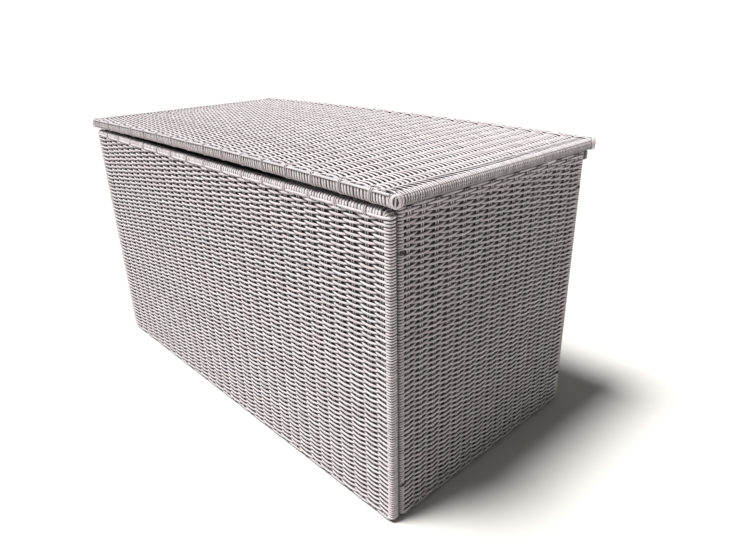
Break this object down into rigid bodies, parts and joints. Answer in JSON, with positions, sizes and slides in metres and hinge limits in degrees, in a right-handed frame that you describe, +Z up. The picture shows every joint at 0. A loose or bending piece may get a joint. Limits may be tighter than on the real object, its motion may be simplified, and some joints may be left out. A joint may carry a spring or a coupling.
{
  "type": "rattan storage box",
  "caption": "Rectangular woven rattan-strand storage box on a tube frame, with a flat overhanging woven lid hinged at the rear, slotted lid stays and a fabric liner.",
  "frame": {"origin": "on the floor, under the middle of the whole box with its lid shut", "axes": "+X along the box's length to its right end, +Y from the front to the hinged rear, +Z up"},
  "size_m": [1.44, 0.732, 0.7854],
  "materials": {
    "rattan_strand": "satin whitewashed polyethylene strand",
    "frame_paint": "powder-coated grey",
    "base_board": "matt",
    "black_plastic": "matt",
    "liner_fabric": "woven polyester",
    "liner_webbing": "woven webbing",
    "black_bolt": "black zinc",
    "bright_steel": "stainless"
  },
  "bodies": {
    "box": {"front_frame": "frame_paint", "front_weave": "rattan_strand", "front_top_wrap": "rattan_strand", "back_frame": "frame_paint", "back_weave": "rattan_strand", "back_top_wrap": "rattan_strand", "left_frame": "frame_paint", "left_weave": "rattan_strand", "left_top_wrap": "rattan_strand", "right_frame": "frame_paint", "right_weave": "rattan_strand", "right_top_wrap": "rattan_strand", "base_frame": "frame_paint", "base_board": "base_board", "base_bolts": "bright_steel", "foot_glides": "black_plastic", "side_bolts": "black_bolt", "side_bolt_washers": "bright_steel", "lock_nuts": "bright_steel", "rivet_nuts": "bright_steel", "hinge_rail": "frame_paint", "hinge_rail_wrap": "rattan_strand", "rail_end_wraps": "rattan_strand", "rail_bolts": "bright_steel", "hinge_body_leaves": "bright_steel", "hinge_body_screws": "bright_steel", "hinge_pins": "bright_steel", "stay_guide_plates": "bright_steel", "stay_guide_pins": "bright_steel", "stay_guide_sleeves": "bright_steel", "stay_guide_screws": "bright_steel", "liner": "liner_fabric", "liner_tabs": "liner_webbing"},
    "lid": {"lid_frame": "frame_paint", "lid_cross_bars": "frame_paint", "lid_weave": "rattan_strand", "lid_rim_wrap": "rattan_strand", "lid_bumpers": "black_plastic", "hinge_lid_leaves": "bright_steel", "hinge_lid_screws": "bright_steel", "stay_lid_brackets": "bright_steel", "stay_rivets": "bright_steel", "stay_spacers": "bright_steel", "stay_bracket_screws": "bright_steel"},
    "stay_left": {"stay_left": "bright_steel"},
    "stay_right": {"stay_right": "bright_steel"}
  },
  "joints": [
    {"name": "lid_hinge", "type": "hinge", "parent": "box", "child": "lid", "pos_m": [0, 0.361, 0.7483], "axis": [-1, 0, 0], "range_deg": [0, 95]},
    {"name": "stay_left_swing", "type": "hinge", "parent": "lid", "child": "stay_left", "pos_m": [-0.66225, 0.16183, 0.736], "axis": [-1, 0, 0], "range_deg": [-47.5, 0]},
    {"name": "stay_right_swing", "type": "hinge", "parent": "lid", "child": "stay_right", "pos_m": [0.66225, 0.16183, 0.736], "axis": [-1, 0, 0], "range_deg": [-47.5, 0]}
  ],
  "couplings": [
    {"joint": "stay_left_swing", "follows": "lid_hinge", "ratio": -0.5},
    {"joint": "stay_right_swing", "follows": "lid_hinge", "ratio": -0.5}
  ]
}
